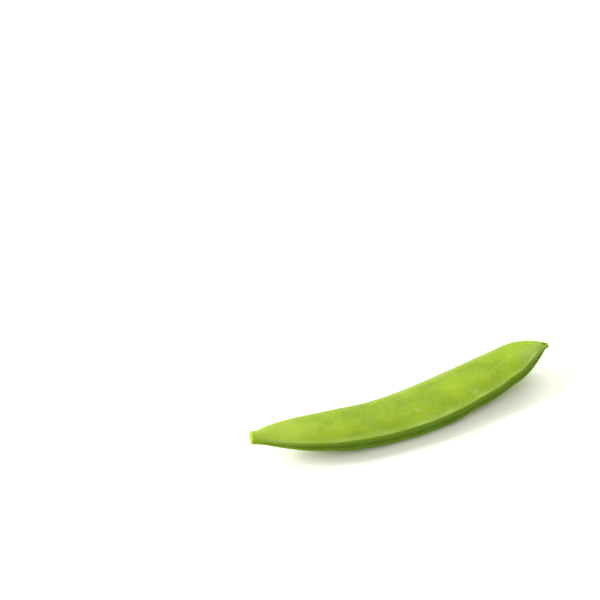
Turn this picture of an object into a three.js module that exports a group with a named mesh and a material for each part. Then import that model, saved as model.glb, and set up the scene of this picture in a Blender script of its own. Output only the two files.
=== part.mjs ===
// A snow pea pod as picked: one flat, bowed pod, with its cut stem stub at -X and its beak at +X.
// It lies on one face, and both ends curl up off the surface. Millimetres, +Z up. The origin is on
// that surface, under the middle of the pod's box.
import * as THREE from "three";

// Driving dimensions.
const POD_LENGTH = 80; // in plan, from the cut face of the stub to the tip of the beak
const POD_WIDTH = 14.1; // across the widest place, without the seam ribs
const POD_THICKNESS = 3.9; // from face to face at the thickest place, between two peas
const BOW = 4.2; // how far the middle sways sideways from the line between the two ends
const STEM_LIFT = 3.6; // how far the stem end curls up
const BEAK_LIFT = 4.2; // how far the beak curls up
const LOWEST_PLACE = 0.47; // share of the length where the curl is lowest
const REST_DEPTH = 0.3; // how deep the underside is pressed flat where the pod rests

// A narrow rib stands proud along the seam on each edge.
const RIB_HEIGHT = 0.25;
const RIB_HALF_WIDTH = 0.45;

// Small flat peas swell both faces a little, nearer to the edge that they hang from (-Y).
const PEA_COUNT = 7;
const FIRST_PEA = 0.17; // share of the length
const LAST_PEA = 0.86; // share of the length
const PEA_SWELL = 0.25;
const PEA_HALF_LENGTH = 3.2;
const PEA_MIDDLE = -0.3; // share of the half width
const PEA_HALF_WIDTH = 0.45; // share of the half width

// Stations from the stub to the beak, in shares: along of POD_LENGTH, sway of BOW, width of
// POD_WIDTH and thickness of POD_THICKNESS.
const STATIONS = [
  { along: 0, sway: 0, width: 0.26, thickness: 0.54 },
  { along: 0.02, sway: -0.06, width: 0.3, thickness: 0.51 },
  { along: 0.06, sway: -0.12, width: 0.48, thickness: 0.56 },
  { along: 0.12, sway: -0.29, width: 0.68, thickness: 0.67 },
  { along: 0.24, sway: -0.68, width: 0.9, thickness: 0.85 },
  { along: 0.38, sway: -0.99, width: 0.96, thickness: 0.97 },
  { along: 0.54, sway: -0.91, width: 1, thickness: 1 },
  { along: 0.7, sway: -0.53, width: 0.97, thickness: 0.95 },
  { along: 0.83, sway: -0.14, width: 0.83, thickness: 0.93 },
  { along: 0.92, sway: 0.15, width: 0.61, thickness: 0.9 },
  { along: 0.965, sway: 0.14, width: 0.34, thickness: 0.66 },
  { along: 0.985, sway: 0.09, width: 0.18, thickness: 0.36 },
  { along: 1, sway: 0, width: 0.06, thickness: 0.22 },
];

// How squarely a section turns from its faces to its edges, at the ends and at the full width, and
// the share of the half thickness by which each face is domed.
const END_SQUARENESS = 3;
const FULL_SQUARENESS = 6;
const FACE_DOME = 0.1;

const RINGS_PER_SPAN = 7;
const RING_POINTS = 40;

const UP = new THREE.Vector3(0, 0, 1);

// How far the curl lifts the centre line at a place along the pod.
function liftAt(along) {
  const beforeLowest = along < LOWEST_PLACE;
  const reach = beforeLowest ? LOWEST_PLACE : 1 - LOWEST_PLACE;
  const lift = beforeLowest ? STEM_LIFT : BEAK_LIFT;
  return lift * ((along - LOWEST_PLACE) / reach) ** 2;
}

function centreLine() {
  const points = STATIONS.map(
    ({ along, sway }) => new THREE.Vector3(along * POD_LENGTH, sway * BOW, liftAt(along)),
  );
  return new THREE.CatmullRomCurve3(points, false, "catmullrom");
}

// Half width (x) and half thickness (y) along the pod, with the same stations as the centre line.
function halfSizes() {
  const points = STATIONS.map(
    ({ width, thickness }) =>
      new THREE.Vector2((width * POD_WIDTH) / 2, (thickness * POD_THICKNESS) / 2),
  );
  return new THREE.SplineCurve(points);
}

// How much the peas swell a face at a distance along the pod and a share of its half width.
function peaSwell(distance, across) {
  const sideways = (across - PEA_MIDDLE) / PEA_HALF_WIDTH;
  let swell = 0;
  for (let pea = 0; pea < PEA_COUNT; pea += 1) {
    const place = POD_LENGTH * THREE.MathUtils.lerp(FIRST_PEA, LAST_PEA, pea / (PEA_COUNT - 1));
    const endwise = (distance - place) / PEA_HALF_LENGTH;
    swell += PEA_SWELL * Math.exp(-(endwise ** 2) - sideways ** 2);
  }
  return swell;
}

// One closed ring of points round the pod, square to its centre line.
function ringAt(t, centre, sizes) {
  const middle = centre.getPoint(t);
  const forward = centre.getTangent(t);
  const sideways = new THREE.Vector3().crossVectors(UP, forward).normalize();
  const upwards = new THREE.Vector3().crossVectors(forward, sideways);
  const { x: halfWidth, y: halfThickness } = sizes.getPoint(t);
  const fullness = (2 * halfWidth) / POD_WIDTH;
  const squareness = THREE.MathUtils.lerp(END_SQUARENESS, FULL_SQUARENESS, fullness);

  const ring = [];
  for (let i = 0; i < RING_POINTS; i += 1) {
    const angle = (i / RING_POINTS) * 2 * Math.PI;
    const corner = Math.abs(Math.cos(angle)) ** squareness + Math.abs(Math.sin(angle)) ** squareness;
    const reach = corner ** (-1 / squareness);
    const across = reach * Math.cos(angle);
    const facing = reach * Math.sin(angle) * (1 - FACE_DOME * across ** 2);
    const rise = facing * (halfThickness + fullness * peaSwell(middle.x, across));
    const rib = fullness * RIB_HEIGHT * Math.exp(-((rise / RIB_HALF_WIDTH) ** 2));
    const point = middle.clone();
    point.addScaledVector(sideways, across * halfWidth + Math.sign(across) * rib);
    point.addScaledVector(upwards, rise);
    ring.push(point);
  }
  return ring;
}

// Two triangles for each gap between neighbouring points of two neighbouring rings.
function skinTriangles(ringCount) {
  const triangles = [];
  for (let ring = 1; ring < ringCount; ring += 1) {
    const from = (ring - 1) * RING_POINTS;
    const to = ring * RING_POINTS;
    for (let i = 0; i < RING_POINTS; i += 1) {
      const next = (i + 1) % RING_POINTS;
      triangles.push(from + i, from + next, to + next);
      triangles.push(from + i, to + next, to + i);
    }
  }
  return triangles;
}

// A fan of triangles that closes the ring starting at a point, facing back along the pod or on.
function capTriangles(ringStart, centrePoint, facesBack) {
  const triangles = [];
  for (let i = 0; i < RING_POINTS; i += 1) {
    const here = ringStart + i;
    const next = ringStart + ((i + 1) % RING_POINTS);
    triangles.push(centrePoint, facesBack ? next : here, facesBack ? here : next);
  }
  return triangles;
}

// The closed skin of the pod, with its cut stub and the blunt tip of its beak closed flat.
function podGeometry() {
  const centre = centreLine();
  const sizes = halfSizes();
  const lastRing = RINGS_PER_SPAN * (STATIONS.length - 1);
  const points = [];
  for (let ring = 0; ring <= lastRing; ring += 1) {
    points.push(...ringAt(ring / lastRing, centre, sizes));
  }
  const stubMiddle = points.push(centre.getPoint(0)) - 1;
  const tipMiddle = points.push(centre.getPoint(1)) - 1;

  const triangles = [
    ...skinTriangles(lastRing + 1),
    ...capTriangles(0, stubMiddle, true),
    ...capTriangles(lastRing * RING_POINTS, tipMiddle, false),
  ];
  return new THREE.BufferGeometry().setFromPoints(points).setIndex(triangles);
}

// Presses the lowest part of the underside flat, and puts the origin under the middle of the box.
function layDown(geometry) {
  geometry.computeBoundingBox();
  const middle = geometry.boundingBox.getCenter(new THREE.Vector3());
  const surface = geometry.boundingBox.min.z + REST_DEPTH;
  const position = geometry.getAttribute("position");
  for (let i = 0; i < position.count; i += 1) {
    position.setZ(i, Math.max(position.getZ(i), surface));
  }
  return geometry.translate(-middle.x, -middle.y, -surface);
}

const podSkin = new THREE.MeshStandardMaterial({
  color: new THREE.Color(0.4, 0.55, 0.07),
  roughness: 0.45,
  metalness: 0,
});

const pod = new THREE.Mesh(layDown(podGeometry()), podSkin);
pod.name = "pod";

const snowPeaPod = new THREE.Group();
snowPeaPod.add(pod);

export default snowPeaPod;
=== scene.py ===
"""A fresh snow pea pod, lying on a pale studio floor.

The pod is modelled straight, ring by ring from its cut stem stub to its beak, and then bent along its
centre line. Everything is in metres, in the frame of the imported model: +X from stub to beak, +Z up.
"""

import logging
import math
from dataclasses import dataclass
from enum import Enum

import bmesh
import bpy
import numpy as np
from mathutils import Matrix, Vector


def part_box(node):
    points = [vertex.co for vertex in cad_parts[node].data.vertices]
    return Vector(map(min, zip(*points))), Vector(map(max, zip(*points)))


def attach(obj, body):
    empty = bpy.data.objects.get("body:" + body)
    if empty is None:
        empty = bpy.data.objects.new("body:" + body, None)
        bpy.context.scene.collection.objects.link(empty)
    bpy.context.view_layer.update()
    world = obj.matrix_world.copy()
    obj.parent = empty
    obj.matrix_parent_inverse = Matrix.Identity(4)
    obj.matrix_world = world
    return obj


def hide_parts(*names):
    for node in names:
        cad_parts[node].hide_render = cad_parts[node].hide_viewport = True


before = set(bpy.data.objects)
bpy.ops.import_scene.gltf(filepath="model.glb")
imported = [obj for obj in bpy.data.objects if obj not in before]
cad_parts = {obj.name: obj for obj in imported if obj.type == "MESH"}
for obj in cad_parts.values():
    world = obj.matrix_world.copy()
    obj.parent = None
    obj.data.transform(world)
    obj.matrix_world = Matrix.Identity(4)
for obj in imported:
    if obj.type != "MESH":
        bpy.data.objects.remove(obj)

LOG = logging.getLogger("snow_pea_pod")
MM = 0.001

Colour = tuple[float, float, float, float]
Socket = bpy.types.NodeSocket


class SeamKind(Enum):
    """The ways that the two walls of a pod meet along an edge."""

    DOUBLE = "two ribs with a groove between them"
    SINGLE = "one fine rib between two grooves"


def linear(red: int, green: int, blue: int) -> Colour:
    """A colour for a shader socket.

    Args:
        red: Share of red as seen on a screen, 0 to 255.
        green: Share of green, 0 to 255.
        blue: Share of blue, 0 to 255.

    Returns:
        The same colour as linear red, green, blue and alpha.
    """
    seen = np.array([red, green, blue]) / 255.0
    light = np.where(seen <= 0.04045, seen / 12.92, ((seen + 0.055) / 1.055) ** 2.4)
    return (float(light[0]), float(light[1]), float(light[2]), 1.0)


def bell(distance: np.ndarray, half_width: float) -> np.ndarray:
    """A smooth hump: 1 at no distance, and about a third of that at the half width."""
    return np.exp(-((distance / half_width) ** 2))


def ramp(value: np.ndarray, start: float, end: float) -> np.ndarray:
    """Rises smoothly from 0 at start to 1 at end, and may fall instead where end is the lower."""
    share = np.clip((value - start) / (end - start), 0.0, 1.0)
    return share * share * (3.0 - 2.0 * share)


def smooth_curve(stops: np.ndarray, values: np.ndarray, at: np.ndarray) -> np.ndarray:
    """Reads a smooth curve through a few stops.

    Args:
        stops: Where the stops are, rising.
        values: The curve's value at each stop.
        at: Where to read it.

    Returns:
        The curve's values there.
    """
    slope = np.gradient(values, stops)
    i = np.clip(np.searchsorted(stops, at, side="right") - 1, 0, len(stops) - 2)
    span = stops[i + 1] - stops[i]
    t = np.clip((at - stops[i]) / span, 0.0, 1.0)
    blend = t * t * (3.0 - 2.0 * t)
    rise = t * (1.0 - t) ** 2 * span * slope[i] - t * t * (1.0 - t) * span * slope[i + 1]
    return values[i] * (1.0 - blend) + values[i + 1] * blend + rise


def wander(points: np.ndarray, size: float, seed: int) -> np.ndarray:
    """Soft random relief made of overlapping waves.

    Args:
        points: The places to read it at, one row each.
        size: The usual distance from crest to crest.
        seed: Which relief to draw.

    Returns:
        A value for each place, mostly between -1 and 1.
    """
    draw = np.random.default_rng(seed)
    total = np.zeros(len(points))
    waves = 14
    for _ in range(waves):
        direction = draw.normal(size=3)
        direction *= 2.0 * math.pi * draw.uniform(0.6, 1.5) / (size * np.linalg.norm(direction))
        total += np.sin(points @ direction + draw.uniform(0.0, 2.0 * math.pi))
    return total * math.sqrt(2.0 / waves)


@dataclass(frozen=True)
class Station:
    """One place along the pod. All four are shares of the pod's own sizes."""

    along: float
    sway: float
    width: float
    thickness: float


STATIONS = (
    Station(0.0, 0.0, 0.25, 0.54),
    Station(0.02, -0.06, 0.29, 0.51),
    Station(0.06, -0.12, 0.475, 0.56),
    Station(0.12, -0.29, 0.665, 0.665),
    Station(0.24, -0.69, 0.88, 0.85),
    Station(0.38, -1.0, 0.95, 0.97),
    Station(0.54, -0.92, 1.0, 1.0),
    Station(0.7, -0.535, 0.96, 0.94),
    Station(0.83, -0.145, 0.82, 0.935),
    Station(0.92, 0.15, 0.6, 0.9),
    Station(0.965, 0.14, 0.335, 0.66),
    Station(0.985, 0.09, 0.18, 0.36),
    Station(1.0, 0.0, 0.06, 0.22),
)


@dataclass(frozen=True)
class Dent:
    """A small hollow, or with a depth below 0 a small bulge, that growth left in the near edge."""

    along: float
    depth: float
    reach: float


DENTS = (
    Dent(along=0.52, depth=-0.1 * MM, reach=5.0 * MM),
    Dent(along=0.68, depth=0.14 * MM, reach=4.0 * MM),
    Dent(along=0.763, depth=-0.14 * MM, reach=2.4 * MM),
    Dent(along=0.807, depth=0.16 * MM, reach=2.2 * MM),
    Dent(along=0.845, depth=-0.12 * MM, reach=2.4 * MM),
)


@dataclass(frozen=True)
class Unevenness:
    """Soft random relief of the skin, by how long and how deep its waves are."""

    size: float
    depth: float
    seed: int


BROAD_WAVES = Unevenness(size=12.0 * MM, depth=0.035 * MM, seed=3)
SMALL_WAVES = Unevenness(size=4.0 * MM, depth=0.008 * MM, seed=5)
EDGE_RUFFLE = Unevenness(size=9.0 * MM, depth=0.05 * MM, seed=11)

# Where each part of the skin begins and is fully there. Widths are shares of the pod's own, places across
# are shares of the half width, and tilts are how squarely the skin faces up, down or endways.
FULL_BODY_WIDTH = (0.16, 0.4)
FACE_TILT = (0.5, 0.95)
END_TILT = (0.5, 0.9)
CUT_TILT = (0.6, 0.95)
EDGE_PLACE = (0.86, 0.97)
RUFFLE_PLACE = (0.7, 0.95)
# The paler rim tint is partly the waxy skin's own paleness and partly painted sheen along both rims of
# the face.
RIM_SHEEN_PLACE = (0.62, 0.9)


def deselect_all() -> None:
    """Leaves nothing selected, so that the next operator acts only on its own piece."""
    bpy.ops.object.select_all(action="DESELECT")


@dataclass
class CentreLine:
    """The line that the pod grew along, bowed sideways and curling up at both ends."""

    length: float
    bow: float
    stem_lift: float
    beak_lift: float
    height: float
    lowest_place: float = 0.47
    guide_points: int = 161
    measured_points: int = 400

    def points(self, count: int) -> np.ndarray:
        """Points along the line.

        Args:
            count: How many.

        Returns:
            Their places, evenly spaced in plan, with the stub's end at X 0.
        """
        share = np.linspace(0.0, 1.0, count)
        stops = np.array([s.along for s in STATIONS])
        sway = smooth_curve(stops, np.array([s.sway for s in STATIONS]), share)
        past = share - self.lowest_place
        stem_side = self.stem_lift * (past / self.lowest_place) ** 2
        beak_side = self.beak_lift * (past / (1.0 - self.lowest_place)) ** 2
        lift = np.where(past < 0.0, stem_side, beak_side)
        return np.column_stack([share * self.length, sway * self.bow, self.height + lift])

    def arc_length(self) -> float:
        """The line's own length, which is a little more than its length in plan."""
        steps = np.diff(self.points(self.measured_points), axis=0)
        return float(np.linalg.norm(steps, axis=1).sum())

    def guide(self) -> bpy.types.Object:
        """The line as a curve object, for bending a straight pod along it."""
        curve = bpy.data.curves.new("centre_line", "CURVE")
        curve.dimensions = "3D"
        curve.twist_mode = "Z_UP"
        points = self.points(self.guide_points)
        spline = curve.splines.new("POLY")
        spline.points.add(len(points) - 1)
        for knot, place in zip(spline.points, points):
            knot.co = (*place, 1.0)
        guide = bpy.data.objects.new("centre_line", curve)
        bpy.context.scene.collection.objects.link(guide)
        return guide


@dataclass
class Peas:
    """The small flat peas, which show as faint swellings on both faces."""

    pod_length: float
    count: int = 7
    first: float = 0.17
    last: float = 0.86
    swell: float = 0.28 * MM
    half_length: float = 2.9 * MM
    half_width: float = 0.42
    middle: float = -0.3
    flatness: float = 1.3
    place_wander: float = 0.008
    side_wander: float = 0.04
    sizes: tuple[float, float] = (0.85, 1.15)
    strengths: tuple[float, float] = (0.7, 1.0)
    seed: int = 7

    def mask(self, along: np.ndarray, across: np.ndarray) -> np.ndarray:
        """Where the peas lie under the skin.

        Args:
            along: Each point's distance from the stub's end.
            across: Each point's share of the half width, negative towards the near edge.

        Returns:
            1 over the middle of a pea, falling to 0 round it.
        """
        draw = np.random.default_rng(self.seed)
        total = np.zeros(len(along))
        for share in np.linspace(self.first, self.last, self.count):
            place = self.pod_length * (share + draw.uniform(-self.place_wander, self.place_wander))
            size = draw.uniform(*self.sizes)
            side = self.middle + draw.uniform(-self.side_wander, self.side_wander)
            reach = ((along - place) / (self.half_length * size)) ** 2
            reach += ((across - side) / (self.half_width * size)) ** 2
            total += draw.uniform(*self.strengths) * np.exp(-(reach**self.flatness))
        return total


@dataclass(frozen=True)
class Seam:
    """The seam along one edge, with its sizes where the pod is thickest."""

    side: float
    kind: SeamKind
    rib_height: float
    rib_half_width: float
    groove_depth: float
    groove_half_width: float
    middle: float

    def ribs(self, level: np.ndarray) -> np.ndarray:
        """How far the ribs stand up at heights above the middle of the edge, as shares of 1."""
        if self.kind is SeamKind.SINGLE:
            return bell(level - self.middle, self.rib_half_width)
        apart = self.groove_half_width + self.rib_half_width
        upper = bell(level - self.middle - apart, self.rib_half_width)
        return upper + bell(level - self.middle + apart, self.rib_half_width)

    def grooves(self, level: np.ndarray) -> np.ndarray:
        """How deep the grooves are at heights above the middle of the edge, as shares of 1."""
        if self.kind is SeamKind.DOUBLE:
            return bell(level - self.middle, self.groove_half_width)
        apart = self.groove_half_width + self.rib_half_width
        upper = bell(level - self.middle - apart, self.groove_half_width)
        return upper + bell(level - self.middle + apart, self.groove_half_width)


NEAR_SEAM = Seam(
    side=-1.0,
    kind=SeamKind.DOUBLE,
    rib_height=0.1 * MM,
    rib_half_width=0.42 * MM,
    groove_depth=0.16 * MM,
    groove_half_width=0.5 * MM,
    middle=0.3 * MM,
)
FAR_SEAM = Seam(
    side=1.0,
    kind=SeamKind.SINGLE,
    rib_height=0.22 * MM,
    rib_half_width=0.4 * MM,
    groove_depth=0.05 * MM,
    groove_half_width=0.24 * MM,
    middle=0.0,
)

# Rings on the cut faces, as shares of the rim's size, and how deep each is sunk.
CAP_RINGS = ((0.93, 0.0), (0.8, 0.03 * MM), (0.62, 0.12 * MM), (0.4, 0.08 * MM), (0.15, 0.05 * MM))


@dataclass
class Pod:
    """The whole pod: two walls joined along both edges, with its stub of stem and its beak."""

    low: Vector
    high: Vector
    length_share: float = 1.003
    width_share: float = 0.866
    thickness_share: float = 0.5755
    bow_share: float = 0.249
    stem_lift_share: float = 0.5312
    beak_lift_share: float = 0.6197
    height_share: float = 0.33
    edge_points: int = 6
    face_points: int = 6
    ring_count: int = 96
    crowding: float = 0.72
    dome: float = 0.2
    edge_round: float = 1.3 * MM
    edge_round_share: float = 0.5
    shoulder_turn: float = 60.0
    shoulder_lead: float = 0.3 * MM
    shoulder_lead_share: float = 0.2
    smoothing: int = 2
    fitting_rounds: int = 4
    cut_slant: float = 0.1
    cut_slant_reach: float = 1.5 * MM
    cut_reach: float = 1.0 * MM
    scar_length: float = 0.9 * MM
    end_ring: float = 0.05 * MM
    cap_rings: tuple[tuple[float, float], ...] = CAP_RINGS
    droop: float = 0.1 * MM
    droop_reach: float = 3.0 * MM
    pit_depth: float = 0.3 * MM
    pit_reach: float = 0.45 * MM
    pit_from_tip: float = 1.0 * MM
    pit_height: float = 0.6 * MM
    rest_depth: float = 0.3 * MM
    rest_softness: float = 0.04 * MM

    def __post_init__(self) -> None:
        """Works out the pod's own sizes from its box."""
        size = self.high - self.low
        self.length = self.length_share * size.x
        self.width = self.width_share * size.y
        self.thickness = self.thickness_share * size.z
        self.line = CentreLine(
            length=self.length,
            bow=self.bow_share * size.y,
            stem_lift=self.stem_lift_share * size.z,
            beak_lift=self.beak_lift_share * size.z,
            height=self.height_share * size.z,
        )
        self.grown_length = self.line.arc_length()
        self.peas = Peas(self.grown_length)

    def half_sizes(self, along: np.ndarray) -> tuple[np.ndarray, np.ndarray]:
        """Half the width and half the thickness at places along the straight pod."""
        share = np.clip(along / self.grown_length, 0.0, 1.0)
        stops = np.array([s.along for s in STATIONS])
        width = smooth_curve(stops, np.array([s.width for s in STATIONS]), share)
        thickness = smooth_curve(stops, np.array([s.thickness for s in STATIONS]), share)
        return 0.5 * self.width * width, 0.5 * self.thickness * thickness

    def section(self, along: float) -> np.ndarray:
        """One ring of the straight pod: gently domed faces, a crisp shoulder and rounded edges.

        Args:
            along: The ring's distance from the stub's end.

        Returns:
            The ring's points, starting at the far edge and going over the top.
        """
        half_width, half_thickness = (float(size[0]) for size in self.half_sizes(np.array([along])))
        shoulder = math.radians(self.shoulder_turn)
        reach = min(self.edge_round, self.edge_round_share * half_width)
        rise = half_thickness * (1.0 - self.dome)
        turn = np.linspace(0.0, shoulder, self.edge_points + 1)
        edge_across = half_width - reach * (1.0 - np.cos(turn))
        edge_facing = rise * np.sin(turn) / math.sin(shoulder)

        lead = min(self.shoulder_lead, self.shoulder_lead_share * edge_across[-1])
        face_across = np.linspace(edge_across[-1] - lead, 0.0, self.face_points)
        past_middle = face_across / edge_across[-1]
        face_facing = rise + (half_thickness - rise) * (1.0 - past_middle**2)

        across = np.concatenate([edge_across, face_across])
        facing = np.concatenate([edge_facing, face_facing])
        across = np.concatenate([across, -across[-2::-1]])
        facing = np.concatenate([facing, facing[-2::-1]])
        across = np.concatenate([across, across[-2:0:-1]])
        facing = np.concatenate([facing, -facing[-2:0:-1]])
        return np.column_stack([np.full(len(across), along), across, facing])

    def _control_ring(self, along: float) -> np.ndarray:
        """The ring to draw, a little outside the section, so that smoothing brings it to size."""
        wanted = self.section(along)
        drawn = wanted.copy()
        for _ in range(self.fitting_rounds):
            smoothed = (np.roll(drawn, 1, axis=0) + 4.0 * drawn + np.roll(drawn, -1, axis=0)) / 6.0
            drawn += wanted - smoothed
        return drawn

    def _ring_places(self) -> np.ndarray:
        """Where the rings stand, closer together towards the two ends."""
        share = np.linspace(0.0, 1.0, self.ring_count)
        sway = np.sin(2.0 * math.pi * share) / (2.0 * math.pi)
        places = self.grown_length * (share - self.crowding * sway)
        return np.insert(places, (1, len(places) - 1), (self.end_ring, places[-1] - self.end_ring))

    def build(self) -> bpy.types.Object:
        """Models the pod and lays it down.

        Returns:
            The finished pod, with its place in its mesh.
        """
        pod = self._draw_out_rings()
        self._close_ends(pod)
        self._refine(pod)
        self._grow_relief(pod)
        self._bend(pod)
        self._lay_down(pod)
        return pod

    def _draw_out_rings(self) -> bpy.types.Object:
        """Extrudes a ring from the stub to the beak, shaping it to the section at each place."""
        deselect_all()
        places = self._ring_places()
        bpy.ops.mesh.primitive_circle_add(
            vertices=4 * (self.edge_points + self.face_points),
            radius=self.width / 10.0,
            rotation=(0.0, math.pi / 2.0, 0.0),
        )
        pod = bpy.context.object
        pod.name = "pod_skin"
        pod.data.name = "pod_skin"
        bpy.ops.object.transform_apply(location=True, rotation=True, scale=True)
        bpy.ops.object.mode_set(mode="EDIT")
        bpy.ops.mesh.select_all(action="SELECT")
        self._shape_rim(pod, self._control_ring(places[0]))
        for place in places[1:]:
            bpy.ops.mesh.extrude_edges_move()
            self._shape_rim(pod, self._control_ring(place))
        bpy.ops.object.mode_set(mode="OBJECT")
        return pod

    @staticmethod
    def _shape_rim(pod: bpy.types.Object, ring: np.ndarray) -> None:
        """Moves the selected rim's points to those of a ring, starting from the far edge."""
        mesh = bmesh.from_edit_mesh(pod.data)
        rim = [v for v in mesh.verts if v.select]
        just_below = 1e-3
        rim.sort(key=lambda v: (math.atan2(v.co.z, v.co.y) + just_below) % (2.0 * math.pi))
        for vertex, point in zip(rim, ring):
            vertex.co = Vector(point)
        bmesh.update_edit_mesh(pod.data)

    def _close_ends(self, pod: bpy.types.Object) -> None:
        """Caps the cut stub, with a faint sunken heart, and the scar at the beak's tip."""
        for place, inward in ((0.0, 1.0), (self.grown_length, -1.0)):
            ring = self._control_ring(place)
            self._select_rim(pod, place)
            bpy.ops.object.mode_set(mode="EDIT")
            for share, sink in self.cap_rings:
                bpy.ops.mesh.extrude_edges_move()
                inner = ring * np.array([1.0, share, share])
                inner[:, 0] += inward * sink
                self._shape_rim(pod, inner)
            bpy.ops.mesh.edge_face_add()
            bpy.ops.object.mode_set(mode="OBJECT")

    def _select_rim(self, pod: bpy.types.Object, place: float) -> None:
        """Selects the open rim that stands at a place along the pod."""
        bpy.ops.object.mode_set(mode="EDIT")
        bpy.ops.mesh.select_mode(type="EDGE")
        bpy.ops.mesh.select_all(action="DESELECT")
        bpy.ops.object.mode_set(mode="OBJECT")
        points = pod.data.vertices
        for edge in pod.data.edges:
            edge.select = all(abs(points[i].co.x - place) < 0.01 * MM for i in edge.vertices)

    def _refine(self, pod: bpy.types.Object) -> None:
        """Turns the faces outwards and smooths the coarse rings into a fine skin."""
        bpy.ops.object.mode_set(mode="EDIT")
        bpy.ops.mesh.select_all(action="SELECT")
        bpy.ops.mesh.remove_doubles(threshold=0.001 * MM)
        bpy.ops.mesh.normals_make_consistent(inside=False)
        bpy.ops.object.mode_set(mode="OBJECT")
        smooth = pod.modifiers.new("smooth", "SUBSURF")
        smooth.levels = self.smoothing
        smooth.render_levels = self.smoothing
        bpy.ops.object.modifier_apply(modifier=smooth.name)
        bpy.ops.object.shade_smooth()

    def _grow_relief(self, pod: bpy.types.Object) -> None:
        """Raises the seams and the peas, and keeps what the finish needs to know of each point."""
        mesh = pod.data
        straight = self._read(mesh, "co")
        normal = self._read(mesh, "normal")
        along = straight[:, 0]
        half_width, half_thickness = self.half_sizes(along)
        across = straight[:, 1] / half_width
        fullness = 2.0 * half_width / self.width
        level = straight[:, 2] * self.thickness / (2.0 * half_thickness)
        body = ramp(fullness, *FULL_BODY_WIDTH)
        on_face = ramp(np.abs(normal[:, 2]), *FACE_TILT)
        on_skin = 1.0 - ramp(np.abs(normal[:, 0]), *END_TILT)

        ribs = np.zeros(len(along))
        grooves = np.zeros(len(along))
        edge = np.zeros(len(along))
        relief = np.zeros(len(along))
        for seam in (NEAR_SEAM, FAR_SEAM):
            on_edge = ramp(seam.side * across, *EDGE_PLACE) * on_skin
            edge += on_edge
            ribs += on_edge * seam.ribs(level)
            grooves += on_edge * seam.grooves(level)
            relief += body * on_edge * seam.rib_height * seam.ribs(level)
            relief -= body * on_edge * seam.groove_depth * seam.grooves(level)
        pea = self.peas.mask(along, across) * on_face
        relief += self.peas.swell * fullness * pea
        broad = wander(straight, BROAD_WAVES.size, BROAD_WAVES.seed)
        relief += BROAD_WAVES.depth * fullness * broad * on_skin
        small = wander(straight, SMALL_WAVES.size, SMALL_WAVES.seed)
        relief += SMALL_WAVES.depth * body * small * on_skin
        lengthwise = along[:, None] * np.array([1.0, 0.0, 0.0])
        ruffle = wander(lengthwise, EDGE_RUFFLE.size, EDGE_RUFFLE.seed)
        relief += EDGE_RUFFLE.depth * ruffle * fullness * ramp(-across, *RUFFLE_PLACE) * on_skin

        pit = self._pit(straight)
        grown = straight + normal * relief[:, None]
        grown[:, 2] -= self.pit_depth * pit
        self._shape_edge_and_ends(grown, along, across)
        mesh.vertices.foreach_set("co", grown.ravel())

        marks = {
            "pea": pea,
            "edge": edge,
            # The grooves beside the seams, where the finish paints shade.
            "rib": ribs * body,
            # Both edges, darkened in the finish: partly their own deeper green, partly painted shade.
            "groove": grooves * body,
            # Paler face rims: partly waxy paleness, partly painted sheen.
            "rim": ramp(np.abs(across), *RIM_SHEEN_PLACE) * on_face * body,
            "cut": ramp(-normal[:, 0], *CUT_TILT) * (along < self.cut_reach),
            "scar": ramp(along, self.grown_length - self.scar_length, self.grown_length),
            "notch": pit,
            "along": along / self.grown_length,
            "across": across,
        }
        for name, values in marks.items():
            self._keep(mesh, name, values)
        place = mesh.attributes.new("grown", "FLOAT_VECTOR", "POINT")
        place.data.foreach_set("vector", (straight / MM).astype(np.float32).ravel())
        mesh.update()

    def _shape_edge_and_ends(self, grown: np.ndarray, along: np.ndarray, across: np.ndarray) -> None:
        """Dents the near edge, lets the beak's tip droop, and slants the cut.

        Args:
            grown: The points to move.
            along: Each point's distance from the stub's end.
            across: Each point's share of the half width, negative towards the near edge.
        """
        for dent in DENTS:
            near_dent = bell(along - dent.along * self.grown_length, dent.reach)
            grown[:, 1] += dent.depth * near_dent * ramp(-across, 0.0, 1.0)
        past_body = np.clip((along - self.grown_length) / self.droop_reach + 1.0, 0.0, 1.0)
        grown[:, 2] -= self.droop * past_body**2
        grown[:, 0] += self.cut_slant * grown[:, 1] * bell(along, self.cut_slant_reach)

    def _pit(self, straight: np.ndarray) -> np.ndarray:
        """The little pit on top of the beak, where the withered flower broke off."""
        middle = np.array([self.grown_length - self.pit_from_tip, 0.0, self.pit_height])
        from_pit = np.linalg.norm(straight - middle, axis=1)
        return bell(from_pit, self.pit_reach) * (straight[:, 2] > 0.0)

    @staticmethod
    def _read(mesh: bpy.types.Mesh, name: str) -> np.ndarray:
        """One vector for each point of a mesh, as rows."""
        values = np.empty(len(mesh.vertices) * 3)
        mesh.vertices.foreach_get(name, values)
        return values.reshape(-1, 3)

    @staticmethod
    def _keep(mesh: bpy.types.Mesh, name: str, values: np.ndarray) -> None:
        """Stores one number for each point of a mesh, for its finish to read."""
        layer = mesh.attributes.new(name, "FLOAT", "POINT")
        layer.data.foreach_set("value", values.astype(np.float32))

    def _bend(self, pod: bpy.types.Object) -> None:
        """Bends the straight pod along its centre line."""
        guide = self.line.guide()
        bend = pod.modifiers.new("bend", "CURVE")
        bend.object = guide
        bend.deform_axis = "POS_X"
        bpy.ops.object.modifier_apply(modifier=bend.name)
        bpy.data.objects.remove(guide)

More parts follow.
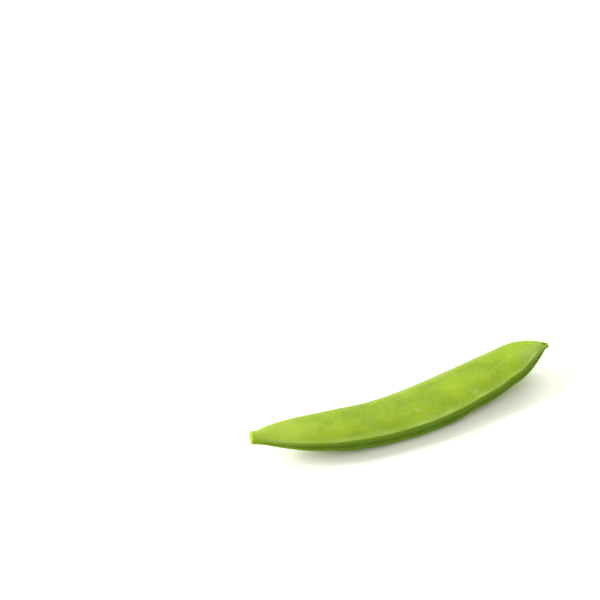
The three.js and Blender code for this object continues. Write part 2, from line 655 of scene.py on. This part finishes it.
    def _lay_down(self, pod: bpy.types.Object) -> None:
        """Centres the pod over its box and presses its lowest part flat on the surface."""
        mesh = pod.data
        points = self._read(mesh, "co")
        middle = (points.min(axis=0) + points.max(axis=0)) / 2.0
        points[:, 0] += (self.low.x + self.high.x) / 2.0 - middle[0]
        points[:, 1] += (self.low.y + self.high.y) / 2.0 - middle[1]
        points[:, 2] -= points[:, 2].min() + self.rest_depth
        points[:, 2] = self.rest_softness * np.logaddexp(0.0, points[:, 2] / self.rest_softness)
        points[:, 2] -= points[:, 2].min()
        mesh.vertices.foreach_set("co", points.ravel())
        mesh.update()


@dataclass(frozen=True)
class Fade:
    """How a value is stretched: low to high becomes start to end."""

    low: float
    high: float
    start: float = 0.0
    end: float = 1.0


@dataclass(frozen=True)
class Clouding:
    """Cloudy noise: features to a millimetre, how many finer layers it has, and how it fades in."""

    per_mm: float
    detail: float
    fade: Fade
    rough: float = 0.5


@dataclass(frozen=True)
class Grain:
    """The way that streaks run: turned by some degrees, and stretched."""

    turn: float
    stretch: tuple[float, float, float]


class NodeBoard:
    """A material's node tree, with short ways to add the nodes that the finishes here use."""

    def __init__(self, name: str) -> None:
        """Starts an empty material with a surface shader."""
        self.material = bpy.data.materials.new(name)
        self.material.use_nodes = True
        self.tree = self.material.node_tree
        self.tree.nodes.clear()
        self.out = self.tree.nodes.new("ShaderNodeOutputMaterial")
        self.shader = self.tree.nodes.new("ShaderNodeBsdfPrincipled")
        self.join(self.shader.outputs["BSDF"], self.out.inputs["Surface"])

    def join(self, source: Socket, target: Socket) -> None:
        """Links one socket to another."""
        self.tree.links.new(source, target)

    def read(self, name: str) -> Socket:
        """One stored number of each point of the piece."""
        node = self.tree.nodes.new("ShaderNodeAttribute")
        node.attribute_name = name
        return node.outputs["Fac"]

    def place(self) -> Socket:
        """Each point's place on the straight pod, in millimetres."""
        node = self.tree.nodes.new("ShaderNodeAttribute")
        node.attribute_name = "grown"
        return node.outputs["Vector"]

    def turned(self, source: Socket, grain: Grain) -> Socket:
        """A place turned flat and then stretched, for streaks that follow a grain."""
        node = self.tree.nodes.new("ShaderNodeMapping")
        node.vector_type = "POINT"
        node.inputs["Rotation"].default_value = (0.0, 0.0, math.radians(grain.turn))
        node.inputs["Scale"].default_value = grain.stretch
        self.join(source, node.inputs["Vector"])
        return node.outputs["Vector"]

    def noise(self, source: Socket, per_mm: float, detail: float, rough: float = 0.5) -> Socket:
        """Cloudy noise.

        Args:
            source: The place to read it at.
            per_mm: How many features there are to a millimetre.
            detail: How many finer layers are added.
            rough: How strong the finer layers are.

        Returns:
            The noise, around 0.5.
        """
        node = self.tree.nodes.new("ShaderNodeTexNoise")
        node.inputs["Scale"].default_value = per_mm
        node.inputs["Detail"].default_value = detail
        node.inputs["Roughness"].default_value = rough
        self.join(source, node.inputs["Vector"])
        return node.outputs["Fac"]

    def clouds(self, source: Socket, clouding: Clouding) -> Socket:
        """Cloudy noise that has been faded in."""
        noise = self.noise(source, clouding.per_mm, clouding.detail, clouding.rough)
        return self.spread(noise, clouding.fade)

    def faded(self, name: str, fade: Fade) -> Socket:
        """One stored number of each point of the piece, stretched."""
        return self.spread(self.read(name), fade)

    def spread(self, source: Socket, fade: Fade) -> Socket:
        """Stretches a value smoothly and without overshoot."""
        node = self.tree.nodes.new("ShaderNodeMapRange")
        node.interpolation_type = "SMOOTHSTEP"
        node.inputs["From Min"].default_value = fade.low
        node.inputs["From Max"].default_value = fade.high
        node.inputs["To Min"].default_value = fade.start
        node.inputs["To Max"].default_value = fade.end
        self.join(source, node.inputs["Value"])
        return node.outputs["Result"]

    def times(self, first: Socket, second: Socket | float) -> Socket:
        """The product of two values."""
        return self._maths("MULTIPLY", first, second)

    def plus(self, first: Socket, second: Socket | float) -> Socket:
        """The sum of two values."""
        return self._maths("ADD", first, second)

    def _maths(self, operation: str, first: Socket, second: Socket | float) -> Socket:
        """One maths node on two values, the second of which may be a plain number."""
        node = self.tree.nodes.new("ShaderNodeMath")
        node.operation = operation
        self.join(first, node.inputs[0])
        if isinstance(second, Socket):
            self.join(second, node.inputs[1])
        else:
            node.inputs[1].default_value = second
        return node.outputs["Value"]

    def tint(self, under: Socket | Colour, over: Colour, share: Socket) -> Socket:
        """Lays one colour over another.

        Args:
            under: The colour below.
            over: The colour on top.
            share: How much of the top colour shows, from 0 to 1.

        Returns:
            The mixed colour.
        """
        node = self.tree.nodes.new("ShaderNodeMix")
        node.data_type = "RGBA"
        if isinstance(under, Socket):
            self.join(under, node.inputs["A"])
        else:
            node.inputs["A"].default_value = under
        node.inputs["B"].default_value = over
        self.join(share, node.inputs["Factor"])
        return node.outputs["Result"]

    def bump(self, height: Socket, depth: float, under: Socket | None = None) -> Socket:
        """Fine relief of a depth in metres, over coarser relief if there is any."""
        node = self.tree.nodes.new("ShaderNodeBump")
        node.inputs["Strength"].default_value = 1.0
        node.inputs["Distance"].default_value = depth
        self.join(height, node.inputs["Height"])
        if under is not None:
            self.join(under, node.inputs["Normal"])
        return node.outputs["Normal"]


@dataclass(frozen=True)
class FreshSkin:
    """The waxy green skin of a fresh pod."""

    deep: Colour = linear(106, 131, 20)
    lime: Colour = linear(122, 146, 22)
    pale: Colour = linear(132, 154, 48)
    yellow: Colour = linear(136, 152, 18)
    young: Colour = linear(148, 168, 54)
    bloom: Colour = linear(134, 160, 82)
    # Paler face rims: partly the waxy skin's own paleness, partly painted sheen.
    rim: Colour = linear(138, 157, 80)
    # The edges' darker green: partly their own colour, partly painted shade on sides that face away from
    # the lights.
    edge: Colour = linear(74, 108, 18)
    rib: Colour = linear(90, 118, 24)
    # Painted shade in the seams' grooves.
    groove: Colour = linear(54, 84, 12)
    flesh: Colour = linear(112, 132, 34)
    scar: Colour = linear(96, 112, 34)
    pit: Colour = linear(48, 50, 22)
    roughness: float = 0.64
    specular: float = 0.09
    see_in: float = 0.5
    see_in_scale: float = 2.0 * MM
    see_in_reach: tuple[float, float, float] = (1.0, 1.2, 0.3)
    clouds: Clouding = Clouding(0.16, 3.0, Fade(0.34, 0.66))
    mottle: Clouding = Clouding(0.9, 4.0, Fade(0.38, 0.72, 0.0, 0.4), rough=0.6)
    streaks: Clouding = Clouding(1.3, 3.0, Fade(0.45, 0.72))
    streak_grain: Grain = Grain(32.0, (0.22, 1.6, 1.0))
    streaks_along: Fade = Fade(0.3, 0.05, 0.15, 0.6)
    young_along: Fade = Fade(0.28, 0.08, 0.0, 0.55)
    rim_sheen_clouds: Clouding = Clouding(0.22, 2.0, Fade(0.35, 0.65, 0.3, 0.75))
    pea_share: float = 0.3
    bloom_clouds: Clouding = Clouding(0.3, 2.0, Fade(0.56, 0.72, 0.0, 0.45))
    bloom_across: Fade = Fade(0.2, -0.5, 0.15, 1.0)
    bloom_along: Fade = Fade(0.25, 0.4)
    beak_bloom_share: float = 0.45
    beak_bloom_along: Fade = Fade(0.82, 0.94)
    beak_bloom_across: Fade = Fade(0.4, -0.3)
    edge_tone_and_shade_along: Fade = Fade(0.03, 0.2, 0.1, 0.6)
    rib_share: float = 0.2
    groove_shade_share: float = 0.5
    fibres: Clouding = Clouding(5.0, 2.0, Fade(0.3, 0.7, 0.75, 1.0))
    shine_per_mm: float = 0.5
    shine_detail: float = 3.0
    shinier: float = 0.06
    duller: float = 0.1
    vein_grain: Grain = Grain(38.0, (0.35, 1.5, 1.0))
    vein_per_mm: float = 1.0
    vein_detail: float = 3.0
    vein_depth: float = 0.014 * MM
    pore_per_mm: float = 7.0
    pore_detail: float = 2.0
    pore_depth: float = 0.008 * MM

    def material(self) -> bpy.types.Material:
        """The finish as a material that reads what the pod's mesh keeps of each point."""
        board = NodeBoard("fresh_pod_skin")
        place = board.place()
        shader = board.shader
        board.join(self._colour(board, place), shader.inputs["Base Color"])
        board.join(self._shine(board, place), shader.inputs["Roughness"])
        board.join(self._relief(board, place), shader.inputs["Normal"])
        shader.inputs["Specular IOR Level"].default_value = self.specular
        shader.inputs["Subsurface Weight"].default_value = self.see_in
        shader.inputs["Subsurface Scale"].default_value = self.see_in_scale
        shader.inputs["Subsurface Radius"].default_value = self.see_in_reach
        return board.material

    def _colour(self, board: NodeBoard, place: Socket) -> Socket:
        """Clouded greens, paler rims (partly painted sheen) and ends, yellower peas, seams darkened
        partly by painted shade, and the two ends.
        """
        colour = board.tint(self.deep, self.lime, board.clouds(place, self.clouds))
        colour = board.tint(colour, self.pale, board.clouds(place, self.mottle))
        streaks = board.clouds(board.turned(place, self.streak_grain), self.streaks)
        streaks = board.times(streaks, board.faded("along", self.streaks_along))
        colour = board.tint(colour, self.pale, streaks)
        colour = board.tint(colour, self.young, board.faded("along", self.young_along))
        # Paler rims of the face: partly waxy paleness, partly painted sheen.
        rim = board.times(board.read("rim"), board.clouds(place, self.rim_sheen_clouds))
        colour = board.tint(colour, self.rim, rim)
        colour = board.tint(colour, self.yellow, board.times(board.read("pea"), self.pea_share))
        colour = board.tint(colour, self.bloom, self._bloom_share(board, place))
        # Darker edges: partly their own deeper green, partly painted shade.
        edge = board.times(board.read("edge"), board.faded("along", self.edge_tone_and_shade_along))
        colour = board.tint(colour, self.edge, edge)
        colour = board.tint(colour, self.rib, board.times(board.read("rib"), self.rib_share))
        # Painted shade darkens the grooves.
        colour = board.tint(colour, self.groove, board.times(board.read("groove"), self.groove_shade_share))
        cut = board.times(board.read("cut"), board.clouds(place, self.fibres))
        colour = board.tint(colour, self.flesh, cut)
        colour = board.tint(colour, self.scar, board.read("scar"))
        return board.tint(colour, self.pit, board.read("notch"))

    def _bloom_share(self, board: NodeBoard, place: Socket) -> Socket:
        """Where the pale waxy bloom lies: in patches over the near half, and on the beak."""
        patches = board.clouds(place, self.bloom_clouds)
        patches = board.times(patches, board.faded("across", self.bloom_across))
        patches = board.times(patches, board.faded("along", self.bloom_along))
        beak = board.times(board.faded("along", self.beak_bloom_along), self.beak_bloom_share)
        beak = board.times(beak, board.faded("across", self.beak_bloom_across))
        return board.plus(patches, beak)

    def _shine(self, board: NodeBoard, place: Socket) -> Socket:
        """Satin, with duller clouds."""
        fade = Fade(0.3, 0.7, self.roughness - self.shinier, self.roughness + self.duller)
        return board.clouds(place, Clouding(self.shine_per_mm, self.shine_detail, fade))

    def _relief(self, board: NodeBoard, place: Socket) -> Socket:
        """Fine pores over slanting veins."""
        grain = board.turned(place, self.vein_grain)
        veins = board.bump(board.noise(grain, self.vein_per_mm, self.vein_detail), self.vein_depth)
        pores = board.noise(place, self.pore_per_mm, self.pore_detail)
        return board.bump(pores, self.pore_depth, veins)


WARM_WHITE = (1.0, 0.995, 0.93)
SKY_WHITE = (0.985, 1.0, 0.86)


@dataclass(frozen=True)
class SoftLight:
    """A broad soft light a long way off, by its bearing, its height and its spread in degrees."""

    name: str
    turn: float
    height: float
    spread: float
    strength: float
    tone: tuple[float, float, float] = WARM_WHITE

    def hang(self) -> bpy.types.Object:
        """Hangs the light, shining on the middle of the studio."""
        lamp = bpy.data.lights.new(self.name, "SUN")
        lamp.energy = self.strength
        lamp.color = self.tone
        lamp.angle = math.radians(self.spread)
        light = bpy.data.objects.new(self.name, lamp)
        bpy.context.scene.collection.objects.link(light)
        height = math.radians(self.height)
        turn = math.radians(self.turn)
        level = math.cos(height)
        towards = Vector((level * math.sin(turn), -level * math.cos(turn), math.sin(height)))
        light.rotation_euler = towards.to_track_quat("Z", "Y").to_euler()
        return light


LIGHTS = (
    SoftLight("key_light", turn=232.0, height=19.0, spread=24.0, strength=6.4),
    SoftLight("fill_light", turn=150.0, height=26.0, spread=44.0, strength=2.4),
)


@dataclass(frozen=True)
class Studio:
    """A plain pale floor under two soft lights from behind and an even sky."""

    floor_size: float = 4.0
    floor_tone: float = 0.9
    sky_strength: float = 0.9

    def build(self) -> bpy.types.Object:
        """Lays the floor and hangs the lights.

        Returns:
            The floor.
        """
        deselect_all()
        bpy.ops.mesh.primitive_plane_add(size=self.floor_size)
        floor = bpy.context.object
        floor.name = "studio_floor"
        board = NodeBoard("pale_floor")
        tone = (self.floor_tone, self.floor_tone, self.floor_tone, 1.0)
        board.shader.inputs["Base Color"].default_value = tone
        board.shader.inputs["Roughness"].default_value = 1.0
        board.shader.inputs["Specular IOR Level"].default_value = 0.0
        floor.data.materials.append(board.material)
        self._light_sky()
        for light in LIGHTS:
            light.hang()
        return floor

    def _light_sky(self) -> None:
        """Fills the studio with even light."""
        world = bpy.data.worlds.new("studio_sky")
        world.use_nodes = True
        sky = world.node_tree.nodes["Background"]
        sky.inputs["Color"].default_value = (*SKY_WHITE, 1.0)
        sky.inputs["Strength"].default_value = self.sky_strength
        bpy.context.scene.world = world


@dataclass(frozen=True)
class StudioCamera:
    """The camera, aimed at a spot on the floor beyond the pod."""

    turn: float = -25.0
    height: float = 36.0
    distance: float = 378.4 * MM
    aim: tuple[float, float] = (-3.99 * MM, 53.72 * MM)
    lens: float = 85.0
    sensor_width: float = 36.0
    nearest: float = 0.01
    farthest: float = 20.0

    def build(self) -> bpy.types.Object:
        """Sets up the camera.

        Returns:
            The camera, which the scene now looks through.
        """
        data = bpy.data.cameras.new("studio_camera")
        data.lens = self.lens
        data.sensor_width = self.sensor_width
        data.clip_start = self.nearest
        data.clip_end = self.farthest
        camera = bpy.data.objects.new("studio_camera", data)
        bpy.context.scene.collection.objects.link(camera)
        turn = math.radians(self.turn)
        height = math.radians(self.height)
        level = math.cos(height)
        back = Vector((level * math.sin(turn), -level * math.cos(turn), math.sin(height)))
        camera.location = Vector((self.aim[0], self.aim[1], 0.0)) + back * self.distance
        camera.rotation_euler = back.to_track_quat("Z", "Y").to_euler()
        bpy.context.scene.camera = camera
        return camera


def main() -> None:
    """Builds the pod and the studio round it."""
    logging.basicConfig(level=logging.INFO, format="%(name)s: %(message)s")
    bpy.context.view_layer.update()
    bpy.context.scene.view_settings.view_transform = "Standard"
    StudioCamera().build()
    Studio().build()

    low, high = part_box("pod")
    pod = Pod(low, high).build()
    pod.data.materials.append(FreshSkin().material())
    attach(pod, "root")
    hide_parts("pod")
    LOG.info("%s: %d faces", pod.name, len(pod.data.polygons))


if __name__ == "__main__":
    main()
